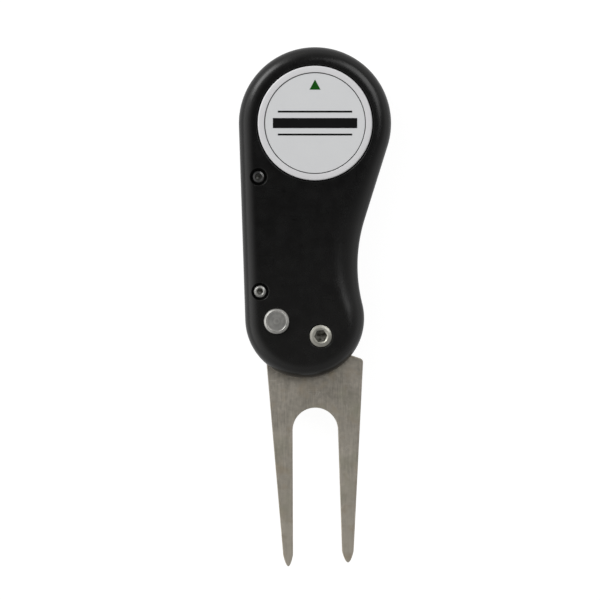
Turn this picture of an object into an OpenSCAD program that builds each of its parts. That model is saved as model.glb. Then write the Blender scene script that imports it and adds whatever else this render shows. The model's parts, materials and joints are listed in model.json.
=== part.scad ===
// Folding divot repair tool: a two-pronged fork that swings out of a two-shell handle,
// held by a push-button lock, with a lift-off ball marker on a magnet in the head.
// Millimetres. The tool lies on its back: +Z leaves the marker's face, -Y runs to the prongs.
// The origin is where the head's axis meets the flat back.

/* [Handle] */
// Radius of the round head, around the marker
head_r = 16.65; // [16.4:0.05:17.2]
// Radius of the round heel, around the pivot
heel_r = 13; // [12.8:0.1:13.4]
// Heel centre, sideways from the head's axis
heel_x = -2.25; // [-2.5:0.05:-2]
// Heel centre, lengthwise from the head's axis
heel_y = -42.6; // [-43.2:0.1:-42.2]
// Thickness of the closed handle
handle_h = 11; // [11:0.1:12]
// Width of the rounded edge, seen from the front
edge_w = 2.8; // [2.4:0.1:3.2]
// Depth of the rounded edge, seen from the side
edge_h = 3.6; // [3:0.1:4]
// Chamfer along the parting line
part_chamfer = 0.15; // [0.1:0.05:0.3]

/* [Finger hollow] */
// Radius of the hollow for the finger
waist_r = 34; // [30:1:38]
// Slope of the straight run from the head into the hollow, in degrees
waist_angle = 17.4; // [17:0.1:19]
// Extra width of the rounded edge at the hollow
waist_edge_w = 3.4; // [2:0.1:4]

/* [Marker] */
// Radius of the ball marker
marker_r = 12.5; // [12:0.1:12.6]
// Thickness of the ball marker
marker_h = 1.65; // [1.5:0.05:1.8]
// Depth of the marker's seat in the head
seat_depth = 1.5; // [1.3:0.1:1.6]
// Gap between the marker and the wall of its seat
seat_gap = 0.3; // [0.2:0.05:0.4]
// Radius of the enamel face in the marker
face_r = 11.05; // [10.5:0.05:11.3]
// Radius of the magnet under the marker
magnet_r = 4; // [3:0.25:5]
// Height of the magnet
magnet_h = 2; // [1.5:0.1:2]

/* [Fork] */
// Thickness of the fork's steel
fork_h = 1.8; // [1.6:0.1:1.8]
// Gap between the fork and each shell
fork_gap = 0.1; // [0.1:0.05:0.2]
// Half width of the fork where it leaves the handle
fork_half_w = 10.5; // [10.2:0.1:10.8]
// Taper of each outer edge, in degrees
fork_taper = 3.9; // [3.6:0.05:4]
// Reach of the left prong from the pivot
left_reach = 50.2; // [48:0.1:50.4]
// Reach of the right prong from the pivot
right_reach = 49.6; // [48:0.1:50.4]
// Length of each prong's rounded nose
nose_l = 2.5; // [2:0.1:4]
// Radius of the arch between the prongs
arch_r = 4.95; // [4.6:0.05:5.2]
// Distance from the pivot to the arch's centre
arch_y = 20.6; // [20:0.05:22]
// Splay of each inner edge, in degrees
arch_splay = 0.85; // [0.5:0.05:1.2]
// Lean of the open fork, in degrees
fork_tilt = 1.05; // [0.5:0.05:1.5]
// Radius of the round tang that turns between the shells
tang_r = 7.9; // [7.5:0.1:7.9]

/* [Pivot] */
// Pivot, sideways from the head's axis
pivot_x = 1.26; // [1.2:0.01:1.4]
// Pivot, lengthwise from the head's axis
pivot_y = -46.46; // [-46.6:0.01:-46.3]
// Radius of the sleeve that the fork turns on
sleeve_r = 2.2; // [2:0.05:2.3]
// Radius of the pivot screw's head
pivot_head_r = 2.55; // [2.3:0.05:2.6]
// Hexagon socket of the pivot screw, across its flats
pivot_socket = 2.5; // [2:0.1:2.8]

/* [Lock button] */
// Button, sideways from the head's axis
button_x = -8.39; // [-8.5:0.01:-8.3]
// Button, lengthwise from the head's axis
button_y = -43.25; // [-43.4:0.01:-43.1]
// Radius of the button's face
button_r = 2.75; // [2.6:0.05:2.8]
// How far the button stands out of the handle
button_proud = 0.8; // [0.5:0.1:1.2]
// Travel of the button
button_travel = 2; // [1.9:0.1:2]
// Radius of the collar that stops the fork
collar_r = 1.8; // [1.6:0.1:1.9]

/* [Case screws] */
// Radius of a case screw's head
case_head_r = 1.4; // [1.3:0.1:1.6]
// Radius of the counterbore around it
case_bore_r = 1.9; // [1.8:0.05:2]
// Hexagon socket of a case screw, across its flats
case_socket = 1.3; // [1.2:0.1:1.6]
// Radius of a case screw's thread
case_thread_r = 0.8; // [0.7:0.05:0.9]

/* [Hidden] */
$fn = 96;
tiny = 0.01;   // overrun of a cut past the face it opens
through = 30;  // length of a cut that leaves the part altogether

function dir(a) = [cos(a), sin(a)];
function unit(v) = v / norm(v);

// ---- Levels, from the back ----
mid_z = handle_h / 2;                       // parting plane, and the fork's middle
chamber = fork_h / 2 + fork_gap;            // half depth of the fork's chamber
seat_z = handle_h - seat_depth;             // floor of the marker's seat

// ---- Outline of the handle: head arc, back edge, heel arc, finger hollow, straight run ----
heel = [heel_x, heel_y];
back_a = 360 + atan2(heel_y, heel_x) - acos((head_r - heel_r) / norm(heel));
run_n = dir(-waist_angle);
run_d = dir(-waist_angle - 90);
run_q = run_n * (head_r + waist_r) - heel;
run_t = -run_q * run_d - sqrt(pow(run_q * run_d, 2) - run_q * run_q + pow(heel_r + waist_r, 2));
waist = run_n * (head_r + waist_r) + run_d * run_t;
heel_end_a = 360 + atan2(waist.y - heel.y, waist.x - heel.x);
waist_end_a = 180 - waist_angle;
HEAD_STEPS = 40;
HEEL_STEPS = 32;
WAIST_STEPS = 8;
RUN_STEPS = 3;

// Each sample is [point, angle of the outward normal].
head_samples = [for (k = [0:HEAD_STEPS])
    let (a = -waist_angle + (back_a + waist_angle) * k / HEAD_STEPS) [head_r * dir(a), a]];
heel_samples = [for (k = [0:HEEL_STEPS])
    let (a = back_a + (heel_end_a - back_a) * k / HEEL_STEPS) [heel + heel_r * dir(a), a]];
waist_samples = [for (k = [1:WAIST_STEPS])
    let (a = heel_end_a - 180 + (waist_end_a - heel_end_a + 180) * k / WAIST_STEPS)
    [waist + waist_r * dir(a), a + 180]];
run_samples = [for (k = [1:RUN_STEPS - 1])
    let (end = waist + waist_r * dir(waist_end_a))
    [end + (head_samples[0][0] - end) * k / RUN_STEPS, -waist_angle]];
outline = concat(head_samples, heel_samples, waist_samples, run_samples);

// The rounded edge is wider along the finger hollow: full at hollow_y, none a hollow_span away.
hollow_y = -28;
hollow_span = 24;
function smooth(t) = let (u = max(0, min(1, t))) u * u * (3 - 2 * u);
function edge_width(s) = edge_w
    + waist_edge_w * pow(max(0, cos(s[1])), 2) * smooth(1 - abs(s[0].y - hollow_y) / hollow_span);

// Rings of the half shell: [height, fixed inset, share of the edge's width].
EDGE_STEPS = 6;
rings = concat(
    [[0, part_chamfer, 0], [part_chamfer, 0, 0], [mid_z - edge_h, 0, 0]],
    [for (k = [1:EDGE_STEPS]) let (a = 90 * k / EDGE_STEPS)
        [mid_z - edge_h + edge_h * sin(a), 0, 1 - cos(a)]]);

// Half of the handle as one smooth skin, from the parting plane at 0 up to its outer face.
module half_body() {
    n = len(outline);
    points = [for (r = rings) for (s = outline)
        let (p = s[0] - dir(s[1]) * (r[1] + r[2] * edge_width(s))) [p.x, p.y, r[0]]];
    sides = [for (i = [0:len(rings) - 2]) for (k = [0:n - 1])
        let (a = i * n + k, b = i * n + (k + 1) % n)
        each [[a, b + n, b], [a, a + n, b + n]]];
    caps = [[for (k = [0:n - 1]) k], [for (k = [n - 1:-1:0]) (len(rings) - 1) * n + k]];
    polyhedron(points, concat(sides, caps), convexity = 6);
}

// ---- Lock geometry: both shoulders of the fork lie on one line beside the pivot ----
pivot = [pivot_x, pivot_y];
button = [button_x, button_y];
lock_a = atan2(button_y - pivot_y, button_x - pivot_x);
lock_d = dir(lock_a);
lock_n = dir(lock_a - 90);
stop_gap = 0.1;                             // between a shoulder and the collar
shoulder = collar_r + stop_gap;             // from the pivot-to-button line to the shoulders
swing_gap = 1.4;                            // clears the prong tips as they pass
swing_r = max(left_reach, right_reach) + swing_gap;

// ---- Fork's chamber, open along the finger side and round the heel ----
spine_top = [-6.4, 12];
spine_low = [-9, -44.4];
wall_gap = 0.5;                             // between the open fork's shoulder and the spine's end
outside = [40, -80];                        // a corner well past the handle
module chamber_area() {
    spine_end = pivot + lock_d * through - lock_n * (shoulder - wall_gap);
    intersection() {
        translate(pivot) circle(r = swing_r);
        polygon([spine_top, spine_low, spine_end, [-outside.x, outside.y], outside,
            [outside.x, spine_top.y]]);
    }
}

// A rounded rectangle from its centre, with true round corners.
module rounded(w, l, r) {
    square([w - 2 * r, l], center = true);
    square([w, l - 2 * r], center = true);
    for (x = [-1, 1], y = [-1, 1]) translate([x * (w / 2 - r), y * (l / 2 - r)]) circle(r = r);
}

// Weight-saving pockets in the chamber's floor: [x, y, width, length].
front_cores = [[0.2, -21.5, 8.4, 9], [-0.4, -32.5, 8.4, 9]];
rear_cores = [[-1, -34, 9, 8.5], [0, -23, 10.5, 9.5], [0.6, -10.5, 12, 11.5], [0.8, 0.2, 12, 5.6]];
core_r = 1.2;
front_core_h = 2;
rear_core_h = 2.4;
module cores(list, h) {
    for (c = list) translate([c[0], c[1], 0]) linear_extrude(h) rounded(c[2], c[3], core_r);
}

// ---- Case screws ----
case_at = [[-12.35, -11.7], [-12, -36.75]];   // upper, lower
case_sink = [1, 0.45];                        // how far each head lies below the face
case_head_h = 1.6;
case_tip_z = 2.2;
insert_r = 1.5;
insert_z = [1.8, 5.2];
case_socket_h = 0.9;
case_gap = 0.05;                              // round the thread, in the front shell
function case_seat_z(i) = handle_h - case_sink[i] - case_head_h;

// ---- Magnet ----
magnet_gap = 0.02;                          // round the magnet, in its pocket

// ---- Pegs that line the shells up, in the solid part of the head ----
pegs = [[-8.5, 10.2], [8.5, 10.2]];
peg_r = 1;
peg_h = 1.8;
peg_gap = 0.05;                             // round a peg
peg_tip_gap = 0.2;                          // below a peg

// ---- Pivot levels ----
pivot_head_h = 1.65;
pivot_head_gap = 0.1;                       // round the screw's head
pivot_sink = 0.05;                          // of the screw's head, below the face
pivot_socket_h = 1.1;
pivot_seat_z = handle_h - pivot_sink - pivot_head_h;   // under the screw's head
pivot_tip_z = 2.8;                          // end of the screw's thread
pivot_thread_r = 1.5;
pivot_thread_gap = 0.1;                     // round the thread, in the front shell
seat_wall = 1.4;                            // of the shell under the screw's head
sleeve_top_z = pivot_seat_z - seat_wall;
sleeve_top_gap = 0.1;
sleeve_flange_r = 3;
sleeve_flange_z = [0.2, 1.1];
sleeve_flange_gap = 0.1;
sleeve_bore_z = 2.4;                        // floor of the nut's thread
slot_w = 0.8;                               // driver's slot across the flange
slot_z = 0.6;                               // its floor
bore_gap = 0.05;                            // running clearance on the sleeve
front_washer_r = [sleeve_r + 0.1, 4.6];     // inner, outer
rear_washer_r = [4.5, 6.6];
washer_h = 0.5;
washer_gap = 0.05;                          // between a washer and the fork
washer_rim_gap = 0.1;                       // round a washer, in its recess

// ---- Lock button levels ----
flange_r = 3.3;
flange_h = 0.6;
flange_top_gap = 0.05;
button_gap = 0.1;
button_bevel = 0.4;
neck_r = 1;
stem_r = 0.9;
stem_h = 1.3;
flange_z = mid_z + chamber + button_travel; // underside of the retaining flange
spring_floor_z = 1;

// ---- Springs ----
wire_r = 0.3;                               // fork spring
coil_r = 3.1;
coil_turns = 3;
coil_pitch = 0.65;
coil_z = 2.25;
coil_start_a = 90;
low_leg = 4.5;
high_leg = 2.4;
leg_tip = 0.5;                              // of the upper leg, past the fork's middle
leg_bend_r = 0.5;
leg_gap = 0.05;                             // round the lower leg, in the rear shell
coil_pocket_r = 4.35;
coil_pocket_z = 1.9;
leg_at = coil_r * dir(coil_start_a) + high_leg * dir(coil_start_a + 90);
leg_hole_r = 0.4;
button_wire_r = 0.15;
button_coil_r = 1.35;
button_turns = 4;
button_pocket_r = collar_r + 0.15;

module front_shell() {
    color("#1c1c1c") difference() {
        union() {
            translate([0, 0, mid_z]) half_body();
            for (p = pegs)
                translate([p.x, p.y, mid_z - peg_h]) cylinder(r = peg_r, h = peg_h + tiny);
        }
        translate([0, 0, mid_z - tiny]) linear_extrude(chamber + tiny) chamber_area();
        translate([0, 0, mid_z + chamber - tiny]) cores(front_cores, front_core_h + tiny);
        translate([0, 0, seat_z]) cylinder(r = marker_r + seat_gap, h = through);
        translate([0, 0, seat_z - magnet_h]) cylinder(r = magnet_r + magnet_gap, h = magnet_h + tiny);
        translate([button_x, button_y, 0]) {
            cylinder(r = button_r + button_gap, h = through);
            cylinder(r = flange_r + button_gap, h = flange_z + flange_h + flange_top_gap);
        }
        translate([pivot_x, pivot_y, 0]) {
            cylinder(r = sleeve_r + bore_gap, h = sleeve_top_z + sleeve_top_gap);
            cylinder(r = pivot_thread_r + pivot_thread_gap, h = through);
            translate([0, 0, pivot_seat_z]) cylinder(r = pivot_head_r + pivot_head_gap, h = through);
            cylinder(r = front_washer_r[1] + washer_rim_gap, h = mid_z + chamber + washer_h);
        }
        for (i = [0, 1]) translate([case_at[i].x, case_at[i].y, 0]) {
            cylinder(r = case_thread_r + case_gap, h = through);
            translate([0, 0, case_seat_z(i)]) cylinder(r = case_bore_r, h = through);
        }
    }
}

module rear_shell() {
    color("#1c1c1c") difference() {
        translate([0, 0, mid_z]) mirror([0, 0, 1]) half_body();
        translate([0, 0, mid_z - chamber]) linear_extrude(chamber + tiny) chamber_area();
        translate([0, 0, mid_z - chamber - rear_core_h]) cores(rear_cores, rear_core_h + tiny);
        for (p = pegs)
            translate([p.x, p.y, mid_z - peg_h - peg_tip_gap])
                cylinder(r = peg_r + peg_gap, h = through);
        for (p = case_at)
            translate([p.x, p.y, insert_z[0]]) cylinder(r = insert_r, h = through);
        translate([button_x, button_y, spring_floor_z]) cylinder(r = button_pocket_r, h = through);
        translate([pivot_x, pivot_y, 0]) {
            translate([0, 0, -tiny]) cylinder(r = sleeve_r + bore_gap, h = through);
            translate([0, 0, -tiny])
                cylinder(r = sleeve_flange_r + sleeve_flange_gap, h = sleeve_flange_z[1] + tiny);
            translate([0, 0, coil_pocket_z]) cylinder(r = coil_pocket_r, h = through);
            translate([0, 0, mid_z - chamber - washer_h])
                cylinder(r = rear_washer_r[1] + washer_rim_gap, h = through);
            translate([0, coil_r - wire_r - leg_gap, coil_pocket_z])
                cube([low_leg + wire_r + 2 * leg_gap, 2 * (wire_r + leg_gap), through]);
        }
    }
}

// A socket-head screw from the underside of its head: thread below 0, chamfered head above,
// and a shallow cone that leads into the hexagon socket.
module socket_screw(head_r, head_h, thread_r, thread_l, socket, socket_h) {
    chamfer = 0.16 * head_r;
    lead = 0.1 * head_r;
    corner_r = socket / 2 / cos(30);
    difference() {
        union() {
            cylinder(r = head_r, h = head_h - chamfer);
            translate([0, 0, head_h - chamfer])
                cylinder(r1 = head_r, r2 = head_r - chamfer, h = chamfer);
            translate([0, 0, -thread_l]) cylinder(r = thread_r, h = thread_l + tiny);
        }
        translate([0, 0, head_h - socket_h]) cylinder(r = corner_r, h = through, $fn = 6);
        translate([0, 0, head_h - lead])
            cylinder(r1 = corner_r - tiny, r2 = corner_r + lead, h = lead + tiny);
    }
}

module case_screw(i) {
    color("silver") translate([case_at[i].x, case_at[i].y, case_seat_z(i)])
        socket_screw(case_head_r, case_head_h, case_thread_r, case_seat_z(i) - case_tip_z,
            case_socket, case_socket_h);
}

// Brass threaded insert in the rear shell, with the screw's hole through it.
module insert(i) {
    color("goldenrod") translate([case_at[i].x, case_at[i].y, insert_z[0]]) difference() {
        cylinder(r = insert_r, h = insert_z[1] - insert_z[0]);
        translate([0, 0, -tiny]) cylinder(r = case_thread_r, h = through);
    }
}

module pivot_screw() {
    color("silver") translate([pivot_x, pivot_y, pivot_seat_z])
        socket_screw(pivot_head_r, pivot_head_h, pivot_thread_r, pivot_seat_z - pivot_tip_z,
            pivot_socket, pivot_socket_h);
}

// Barrel nut from the back: a slotted flange, and the sleeve that the fork turns on.
module pivot_sleeve() {
    color("silver") translate([pivot_x, pivot_y, 0]) difference() {
        union() {
            translate([0, 0, sleeve_flange_z[0]])
                cylinder(r = sleeve_flange_r, h = sleeve_flange_z[1] - sleeve_flange_z[0]);
            translate([0, 0, sleeve_flange_z[0]])
                cylinder(r = sleeve_r, h = sleeve_top_z - sleeve_flange_z[0]);
        }
        translate([0, 0, sleeve_bore_z]) cylinder(r = pivot_thread_r, h = through);
        translate([-through / 2, -slot_w / 2, 0]) cube([through, slot_w, slot_z]);
    }
}

// A flat washer round the pivot, from its lower face; radii are [inner, outer].
module washer(radii, z) {
    color("peru") translate([pivot_x, pivot_y, z]) difference() {
        cylinder(r = radii[1], h = washer_h);
        translate([0, 0, -tiny]) cylinder(r = radii[0], h = through);
    }
}
module front_washer() {
    washer(front_washer_r, mid_z + fork_h / 2 + washer_gap);
}
module rear_washer() {
    washer(rear_washer_r, mid_z - fork_h / 2 - washer_gap - washer_h);
}

module magnet() {
    color("silver") translate([0, 0, seat_z - magnet_h]) cylinder(r = magnet_r, h = magnet_h);
}

// A round wire as one closed skin. Each stop is [point, tangent, reference across the wire].
WIRE_SIDES = 8;
module wire(stops, r) {
    n = WIRE_SIDES;
    points = [for (s = stops) let (x = unit(s[2]), y = unit(cross(s[1], s[2]))) for (k = [0:n - 1])
        s[0] + r * (cos(360 * k / n) * x + sin(360 * k / n) * y)];
    sides = [for (i = [0:len(stops) - 2]) for (k = [0:n - 1])
        let (a = i * n + k, b = i * n + (k + 1) % n)
        each [[a, b, b + n], [a, b + n, a + n]]];
    caps = [[for (k = [n - 1:-1:0]) k], [for (k = [0:n - 1]) (len(stops) - 1) * n + k]];
    polyhedron(points, concat(sides, caps), convexity = 10);
}
function up(v, z = 0) = [v.x, v.y, z];
function helix(r, z, pitch, turns, a0, steps) = [for (k = [0:steps * turns])
    let (a = a0 + 360 * k / steps)
    [up(r * dir(a), z + pitch * k / steps),
     unit(up(r * dir(a + 90) * PI * 2, pitch)), up(dir(a))]];

// Torsion spring: a leg in the rear shell, the coils, and a leg bent up into the fork.
module fork_spring() {
    steps = 20;
    top_z = coil_z + coil_pitch * coil_turns;
    out = dir(coil_start_a);
    bend = leg_bend_r;
    low = [up(coil_r * out - low_leg * dir(coil_start_a + 90), coil_z),
        up(dir(coil_start_a + 90)), up(out)];
    bend_stops = [for (a = [0:30:90])
        [up(coil_r * out + (high_leg - bend + bend * sin(a)) * dir(coil_start_a + 90),
            top_z + bend * (1 - cos(a))),
         up(dir(coil_start_a + 90) * cos(a), sin(a)), up(out)]];
    tip = [up(leg_at, mid_z + leg_tip), [0, 0, 1], up(out)];
    color("gainsboro") translate([pivot_x, pivot_y, 0])
        wire(concat([low], helix(coil_r, coil_z, coil_pitch, coil_turns, coil_start_a, steps),
            bend_stops, [tip]), wire_r);
}

module button_spring() {
    steps = 16;
    low = spring_floor_z + button_wire_r;
    high = mid_z - chamber - button_wire_r;
    color("gainsboro") translate([button_x, button_y, 0])
        wire(helix(button_coil_r, low, (high - low) / button_turns, button_turns, 0, steps),
            button_wire_r);
}

// Turned plunger: face, retaining flange, neck, the collar in the fork's way, and a stem.
module release_button() {
    face_z = handle_h + button_proud;
    color("silver") translate([button_x, button_y, 0]) {
        translate([0, 0, face_z - button_bevel])
            cylinder(r1 = button_r, r2 = button_r - button_bevel, h = button_bevel);
        translate([0, 0, flange_z]) cylinder(r = button_r, h = face_z - button_bevel - flange_z);
        translate([0, 0, flange_z]) cylinder(r = flange_r, h = flange_h);
        translate([0, 0, mid_z]) cylinder(r = neck_r, h = flange_z - mid_z + tiny);
        translate([0, 0, mid_z - chamber]) cylinder(r = collar_r, h = 2 * chamber);
        translate([0, 0, mid_z - chamber - stem_h]) cylinder(r = stem_r, h = stem_h + tiny);
    }
}

// ---- Fork outline, in its own frame: pivot at the origin, prongs down -Y ----
fork_axis = -1.4;                           // centreline of the outer edges, left of the pivot
gap_axis = -1.57;                           // centreline of the arch and the inner edges
taper_y = -6.6;                             // where fork_half_w is measured
function outer_x(side, y) = fork_axis + side * (fork_half_w + (y - taper_y) * tan(fork_taper));
function inner_x(side, y) = gap_axis + side * (arch_r + (-arch_y - y) * tan(arch_splay));
shoulder_r = 0.9;                           // rounding of the two shoulder corners

// Fillets a corner b between a and c.
function fillet(a, b, c, r) =
    let (u = unit(a - b), v = unit(c - b), half = acos(u * v) / 2,
        centre = b + unit(u + v) * r / sin(half), start = b + u * r / tan(half) - centre,
        turn = (cross(u, v) > 0 ? -1 : 1) * (180 - 2 * half), a0 = atan2(start.y, start.x),
        steps = max(2, ceil(abs(turn) / 10)))
    [for (k = [0:steps]) centre + r * dir(a0 + turn * k / steps)];
// Rounds each corner [x, y, r] of a closed list.
function rounded_path(c) = let (n = len(c)) [for (i = [0:n - 1])
    let (b = [c[i].x, c[i].y], a = c[(i + n - 1) % n], d = c[(i + 1) % n])
    each c[i].z > 0 ? fillet([a.x, a.y], b, [d.x, d.y], c[i].z) : [b]];

// Corners of one prong's nose, a parabola from its outer edge to its inner edge; side is -1 or 1.
NOSE_STEPS = 8;
nose_r = 3;                                 // rounding where the nose meets the straight edges
function prong(side, reach) = let (tip = -reach, base = tip + nose_l,
    a = outer_x(side, base), b = inner_x(side, base))
    [for (k = [-NOSE_STEPS:NOSE_STEPS]) let (t = k / NOSE_STEPS)
        [(a + b) / 2 - t * (a - b) / 2, tip + nose_l * t * t, abs(k) == NOSE_STEPS ? nose_r : 0]];
function reversed(l) = [for (i = [len(l) - 1:-1:0]) l[i]];

module fork() {
    d = lock_a - fork_tilt;
    n = dir(d - 90);
    function corner(side) = let (m = tan(fork_taper) * side,
        x0 = outer_x(side, 0), y = (-shoulder - n.x * x0) / (n.y + n.x * m))
        [x0 + m * y, y, shoulder_r];
    arch = [for (a = [0:6:180]) [gap_axis + arch_r * cos(a), -arch_y + arch_r * sin(a), 0]];
    outline = rounded_path(concat([corner(1), corner(-1)], prong(-1, left_reach),
        reversed(arch), reversed(prong(1, right_reach))));
    color("#8a857c") translate([pivot_x, pivot_y, mid_z - fork_h / 2]) rotate(fork_tilt)
        difference() {
            union() {
                linear_extrude(fork_h) polygon(outline);
                cylinder(r = tang_r, h = fork_h);
            }
            translate([0, 0, -tiny]) cylinder(r = sleeve_r + bore_gap, h = through);
            rotate(-fork_tilt) translate([leg_at.x, leg_at.y, -tiny])
                cylinder(r = leg_hole_r, h = through);
        }
}

// ---- Ball marker: plated disc, enamel face sunk in it, and the print on the face ----
marker_z = seat_z + 0.05;                   // clear of the seat's floor
marker_bevel = 0.25;
face_h = 0.3;
face_gap = 0.05;                            // round the enamel, in its bed
print_h = 0.04;
face_z = marker_z + marker_h - 0.1;         // the enamel lies a little below the rim
ring_w = 0.14;
arrow = [[-1.2, 7.3], [1.2, 7.3], [0, 9.5]];
bars = [[18.4, 2.2, 0], [16.2, 0.4, 2.5], [16.2, 0.4, -2.5]];   // [length, width, y]

module marker_disc() {
    color("gainsboro") translate([0, 0, marker_z]) difference() {
        union() {
            cylinder(r = marker_r, h = marker_h - marker_bevel);
            translate([0, 0, marker_h - marker_bevel])
                cylinder(r1 = marker_r, r2 = marker_r - marker_bevel, h = marker_bevel);
        }
        translate([0, 0, face_z - face_h - marker_z]) cylinder(r = face_r + face_gap, h = through);
    }
}

module marker_face() {
    color("white") translate([0, 0, face_z - face_h]) cylinder(r = face_r, h = face_h);
}

module marker_arrow() {
    color("darkgreen") translate([0, 0, face_z]) linear_extrude(print_h) polygon(arrow);
}

// Aiming lines: a broad middle bar between two fine ones.
module marker_bars() {
    color("black") translate([0, 0, face_z]) linear_extrude(print_h)
        for (b = bars) translate([0, b[2]]) square([b[0], b[1]], center = true);
}

module marker_ring() {
    color("black") translate([0, 0, face_z]) linear_extrude(print_h) difference() {
        circle(r = face_r);
        circle(r = face_r - ring_w);
    }
}

front_shell();
rear_shell();
case_screw(0);  // upper_case_screw
case_screw(1);  // lower_case_screw
insert(0);  // upper_insert
insert(1);  // lower_insert
pivot_screw();
pivot_sleeve();
front_washer();
rear_washer();
magnet();
fork_spring();
button_spring();
fork();
release_button();
marker_disc();
marker_face();
marker_arrow();
marker_bars();
marker_ring();
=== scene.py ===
"""Looks of the folding divot repair tool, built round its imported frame.

Metres throughout. The tool lies on its back: +Z leaves the marker's face, the open fork points
down -Y, and the head's axis is the origin. Lengths below are written in millimetres times MM.
"""

import json
import math

import bpy
import numpy as np
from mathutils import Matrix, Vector


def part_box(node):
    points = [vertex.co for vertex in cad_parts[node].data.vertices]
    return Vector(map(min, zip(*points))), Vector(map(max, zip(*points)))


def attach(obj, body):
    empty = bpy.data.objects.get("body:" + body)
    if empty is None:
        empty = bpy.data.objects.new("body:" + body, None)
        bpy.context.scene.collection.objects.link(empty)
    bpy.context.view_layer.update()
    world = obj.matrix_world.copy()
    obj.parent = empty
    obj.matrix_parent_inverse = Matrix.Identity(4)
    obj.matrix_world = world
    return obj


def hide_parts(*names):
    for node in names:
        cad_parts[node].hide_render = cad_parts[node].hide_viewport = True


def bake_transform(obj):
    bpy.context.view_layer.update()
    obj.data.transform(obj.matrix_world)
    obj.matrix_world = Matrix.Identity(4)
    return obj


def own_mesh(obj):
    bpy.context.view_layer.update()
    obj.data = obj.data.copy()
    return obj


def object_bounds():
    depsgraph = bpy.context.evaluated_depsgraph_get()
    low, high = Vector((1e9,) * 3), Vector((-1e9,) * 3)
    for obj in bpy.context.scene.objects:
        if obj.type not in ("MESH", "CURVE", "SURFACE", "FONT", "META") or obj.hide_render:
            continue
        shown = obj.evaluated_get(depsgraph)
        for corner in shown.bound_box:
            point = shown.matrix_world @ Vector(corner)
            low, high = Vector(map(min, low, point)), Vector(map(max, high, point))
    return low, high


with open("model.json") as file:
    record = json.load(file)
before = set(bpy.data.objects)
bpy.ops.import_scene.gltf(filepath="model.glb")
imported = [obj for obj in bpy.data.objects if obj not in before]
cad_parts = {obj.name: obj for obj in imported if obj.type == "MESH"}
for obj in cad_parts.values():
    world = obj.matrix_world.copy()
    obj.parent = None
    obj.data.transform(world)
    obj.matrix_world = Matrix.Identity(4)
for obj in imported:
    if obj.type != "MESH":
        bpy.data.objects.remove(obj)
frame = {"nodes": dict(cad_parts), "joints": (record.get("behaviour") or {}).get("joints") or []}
cad_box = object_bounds()

MM = 0.001


# ---------------------------------------------------------------- sizes, from the frame

def middle(node):
    """Centre of a node's box, as (x, y)."""
    low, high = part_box(node)
    return np.array([(low.x + high.x) / 2, (low.y + high.y) / 2])


def radius(node):
    """Half the width of a node's box."""
    low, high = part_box(node)
    return (high.x - low.x) / 2


def levels(node):
    """Lowest and highest z of a node's box."""
    low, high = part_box(node)
    return low.z, high.z


JOINTS = {joint["name"]: joint for joint in frame["joints"]}
PIVOT = np.array(JOINTS["fork_fold"]["pos_m"][:2])
BUTTON = middle("release_button")
CASE_SCREWS = {name: middle(name) for name in ("upper_case_screw", "lower_case_screw")}
FORK_Z = levels("fork")
TOP_Z = levels("front_shell")[1]
MID_Z = sum(FORK_Z) / 2
TINY = 0.01 * MM

# sizes that more than one piece shares
PIVOT_HEAD_H = 1.65 * MM
CASE_HEAD_H = 1.6 * MM
SLEEVE_HOLE_R = 2.25 * MM
SPRING_LEG = np.array([-2.4, 3.1]) * MM


# ---------------------------------------------------------------- meshes

def direction(angle):
    """Unit vectors at the given angles, in radians."""
    return np.stack([np.cos(angle), np.sin(angle)], axis=-1)


def lofted(name, rings):
    """A closed skin through rings of points, shape (rings, n, 3), each ring counter-clockwise
    seen from the end that the next one leads to. Neighbouring rings are joined by quads and the
    two end rings are filled."""
    count, n = rings.shape[:2]
    start = np.arange(count - 1)[:, None] * n
    here = np.arange(n)[None, :]
    after = (here + 1) % n
    quads = np.stack([start + here, start + after, start + n + after, start + n + here], axis=-1)
    faces = quads.reshape(-1, 4).tolist()
    faces.append(np.arange(n)[::-1].tolist())
    faces.append((np.arange(n) + (count - 1) * n).tolist())
    mesh = bpy.data.meshes.new(name)
    mesh.from_pydata(rings.reshape(-1, 3).tolist(), [], faces)
    mesh.update()
    piece = bpy.data.objects.new(name, mesh)
    bpy.context.scene.collection.objects.link(piece)
    return piece


def filleted(corners, steps=6, closed=True):
    """An outline through corners (a, b, r): each corner with r > 0 becomes an arc of radius r
    that touches both of its sides. An open outline keeps its two ends."""
    points = []
    total = len(corners)
    for i, (a, b, r) in enumerate(corners):
        corner = np.array([a, b])
        if r <= 0 or (not closed and i in (0, total - 1)):
            points.append(corner[None])
            continue
        before = np.array(corners[i - 1][:2]) - corner
        after = np.array(corners[(i + 1) % total][:2]) - corner
        before = before / np.linalg.norm(before)
        after = after / np.linalg.norm(after)
        half = math.acos(float(np.clip(before @ after, -1, 1))) / 2
        centre = corner + (before + after) / np.linalg.norm(before + after) * r / math.sin(half)
        first = corner + before * r / math.tan(half) - centre
        crossing = before[0] * after[1] - before[1] * after[0]
        turn = math.copysign(math.pi - 2 * half, -crossing)
        sweep = math.atan2(first[1], first[0]) + np.linspace(0, turn, steps + 1)
        points.append(centre + r * direction(sweep))
    return np.concatenate(points)


def turned(name, centre, corners, sides=128, steps=6, waves=None):
    """A solid of revolution about the vertical through centre: each point (r, z) of the filleted
    profile becomes a ring. The profile runs from the lowest face to the highest. waves, if given,
    is a function of (angle, r, z) that returns the radius instead."""
    profile = filleted(corners, steps, closed=False)
    angle = np.linspace(0, 2 * math.pi, sides, endpoint=False)
    r = np.repeat(profile[:, :1], sides, axis=1)
    z = np.repeat(profile[:, 1:], sides, axis=1)
    if waves is not None:
        r = waves(angle[None, :], r, z)
    rings = np.stack([centre[0] + r * np.cos(angle), centre[1] + r * np.sin(angle), z], axis=-1)
    return lofted(name, rings)


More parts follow.
